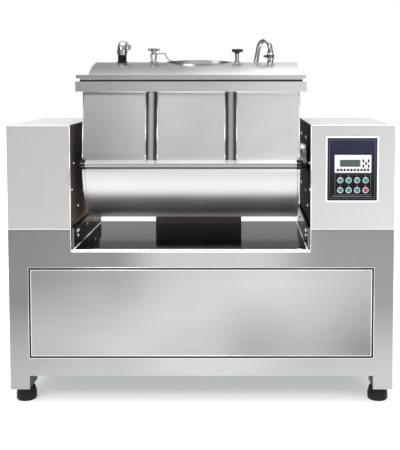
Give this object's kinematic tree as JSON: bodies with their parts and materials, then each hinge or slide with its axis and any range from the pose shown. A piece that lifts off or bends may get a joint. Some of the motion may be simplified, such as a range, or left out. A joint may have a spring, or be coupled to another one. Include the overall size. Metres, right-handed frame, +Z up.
{
  "type": "vacuum dough mixer",
  "caption": "Floor-standing vacuum dough mixer: cabinet on feet, tilting rolled trough with bladed shaft, domed hinged lid, vacuum port and keypad.",
  "frame": {"origin": "on the floor under the middle of the cabinet", "axes": "+X to the operator's right along the mixing shaft, +Y to the back, +Z up"},
  "size_m": [1.88, 0.826, 1.803],
  "materials": {
    "brushed_stainless": "brushed",
    "polished_stainless": "polished",
    "cover_stainless": "fine satin",
    "frame_steel": "satin",
    "foot_rubber": "matte",
    "seal_rubber": "satin",
    "belt_rubber": "matte",
    "bronze": "machined",
    "cast_housing": "painted",
    "motor_casing": "painted",
    "gear_steel": "machined",
    "chrome": "polished",
    "console_frame": "satin",
    "console_plate": "gloss",
    "display_glass": "gloss",
    "key_black": "satin",
    "bezel_metal": "satin",
    "button_green": "gloss",
    "button_red": "gloss",
    "dark_plastic": "satin"
  },
  "bodies": {
    "frame": {"levelling_feet": "foot_rubber", "base_tray": "brushed_stainless", "base_frame": "frame_steel", "front_skin": "brushed_stainless", "front_access_panel": "brushed_stainless", "side_skins": "brushed_stainless", "rear_skin": "brushed_stainless", "cable_gland": "dark_plastic", "well_floor": "polished_stainless", "well_walls": "polished_stainless", "well_rails": "polished_stainless", "rear_service_box": "cover_stainless", "left_tower_cover": "cover_stainless", "right_tower_cover": "cover_stainless", "trunnion_bearings": "cast_housing", "main_motor": "motor_casing", "drive_belts": "belt_rubber", "shaft_reducer": "cast_housing", "tilt_gearmotor": "cast_housing", "vacuum_pump": "cast_housing", "control_enclosure": "frame_steel", "panel_frame": "console_frame", "panel_plate": "console_plate", "display_screen": "display_glass", "membrane_keys": "key_black", "button_bezels": "bezel_metal"},
    "tub": {"tub_shell": "brushed_stainless", "tub_end_plates": "brushed_stainless", "rim_flange": "brushed_stainless", "stiffening_ribs": "brushed_stainless", "rib_caps": "seal_rubber", "rim_gasket": "seal_rubber", "trunnions": "gear_steel", "shaft_seals": "bronze", "tilt_gear": "gear_steel", "hinge_brackets": "polished_stainless"},
    "lid": {"lid_shell": "brushed_stainless", "hinge_leaves": "polished_stainless", "inspection_hatch": "polished_stainless", "clamp_posts": "chrome", "vacuum_stub": "seal_rubber", "vacuum_elbow": "chrome", "water_pipe": "chrome", "ball_valve": "chrome"},
    "mixing_shaft": {"mixing_shaft": "gear_steel", "mixing_paddles": "polished_stainless"},
    "left_knob": {"left_knob": "chrome"},
    "right_knob": {"right_knob": "dark_plastic"},
    "valve_lever": {"valve_lever": "dark_plastic"},
    "tilt_pinion": {"tilt_pinion": "gear_steel"},
    "motor_pulley": {"motor_pulley": "gear_steel"},
    "reducer_pulley": {"reducer_pulley": "gear_steel"},
    "button_1": {"button_1": "button_green"},
    "button_2": {"button_2": "button_green"},
    "button_3": {"button_3": "button_green"},
    "button_4": {"button_4": "button_green"},
    "button_5": {"button_5": "button_green"},
    "button_6": {"button_6": "button_green"},
    "button_7": {"button_7": "button_green"},
    "button_8": {"button_8": "button_red"}
  },
  "joints": [
    {"name": "tub_tilt", "type": "hinge", "parent": "frame", "child": "tub", "pos_m": [0, -0.034, 1.185], "axis": [1, 0, 0], "range_deg": [0, 95]},
    {"name": "lid_hinge", "type": "hinge", "parent": "tub", "child": "lid", "pos_m": [-0.05, 0.293, 1.595], "axis": [-1, 0, 0], "range_deg": [0, 80]},
    {"name": "mixing_spin", "type": "hinge", "parent": "frame", "child": "mixing_shaft", "pos_m": [0, -0.034, 1.185], "axis": [1, 0, 0], "continuous": true},
    {"name": "tilt_pinion_spin", "type": "hinge", "parent": "frame", "child": "tilt_pinion", "pos_m": [0.648, -0.034, 1.005], "axis": [1, 0, 0], "range_deg": [-285, 0]},
    {"name": "reducer_pulley_spin", "type": "hinge", "parent": "frame", "child": "reducer_pulley", "pos_m": [-0.8475, 0.11, 1.085], "axis": [1, 0, 0], "continuous": true},
    {"name": "motor_pulley_spin", "type": "hinge", "parent": "frame", "child": "motor_pulley", "pos_m": [-0.8475, 0.11, 0.347], "axis": [1, 0, 0], "continuous": true},
    {"name": "left_knob_turn", "type": "hinge", "parent": "lid", "child": "left_knob", "pos_m": [-0.264, -0.034, 1.74], "axis": [0, 0, 1], "continuous": true},
    {"name": "right_knob_turn", "type": "hinge", "parent": "lid", "child": "right_knob", "pos_m": [0.173, -0.034, 1.735], "axis": [0, 0, 1], "continuous": true},
    {"name": "valve_turn", "type": "hinge", "parent": "lid", "child": "valve_lever", "pos_m": [0.346, -0.114, 1.709], "axis": [0, 1, 0], "range_deg": [0, 90]},
    {"name": "button_1_press", "type": "slide", "parent": "frame", "child": "button_1", "axis": [0, 1, 0], "range_m": [0, 0.004], "stiffness_N_per_m": 600, "springref_m": -0.002},
    {"name": "button_2_press", "type": "slide", "parent": "frame", "child": "button_2", "axis": [0, 1, 0], "range_m": [0, 0.004], "stiffness_N_per_m": 600, "springref_m": -0.002},
    {"name": "button_3_press", "type": "slide", "parent": "frame", "child": "button_3", "axis": [0, 1, 0], "range_m": [0, 0.004], "stiffness_N_per_m": 600, "springref_m": -0.002},
    {"name": "button_4_press", "type": "slide", "parent": "frame", "child": "button_4", "axis": [0, 1, 0], "range_m": [0, 0.004], "stiffness_N_per_m": 600, "springref_m": -0.002},
    {"name": "button_5_press", "type": "slide", "parent": "frame", "child": "button_5", "axis": [0, 1, 0], "range_m": [0, 0.004], "stiffness_N_per_m": 600, "springref_m": -0.002},
    {"name": "button_6_press", "type": "slide", "parent": "frame", "child": "button_6", "axis": [0, 1, 0], "range_m": [0, 0.004], "stiffness_N_per_m": 600, "springref_m": -0.002},
    {"name": "button_7_press", "type": "slide", "parent": "frame", "child": "button_7", "axis": [0, 1, 0], "range_m": [0, 0.004], "stiffness_N_per_m": 600, "springref_m": -0.002},
    {"name": "button_8_press", "type": "slide", "parent": "frame", "child": "button_8", "axis": [0, 1, 0], "range_m": [0, 0.004], "stiffness_N_per_m": 600, "springref_m": -0.002}
  ],
  "couplings": [
    {"joint": "tilt_pinion_spin", "follows": "tub_tilt", "ratio": -3},
    {"joint": "reducer_pulley_spin", "follows": "mixing_spin", "ratio": 12.5},
    {"joint": "motor_pulley_spin", "follows": "mixing_spin", "ratio": 25}
  ]
}
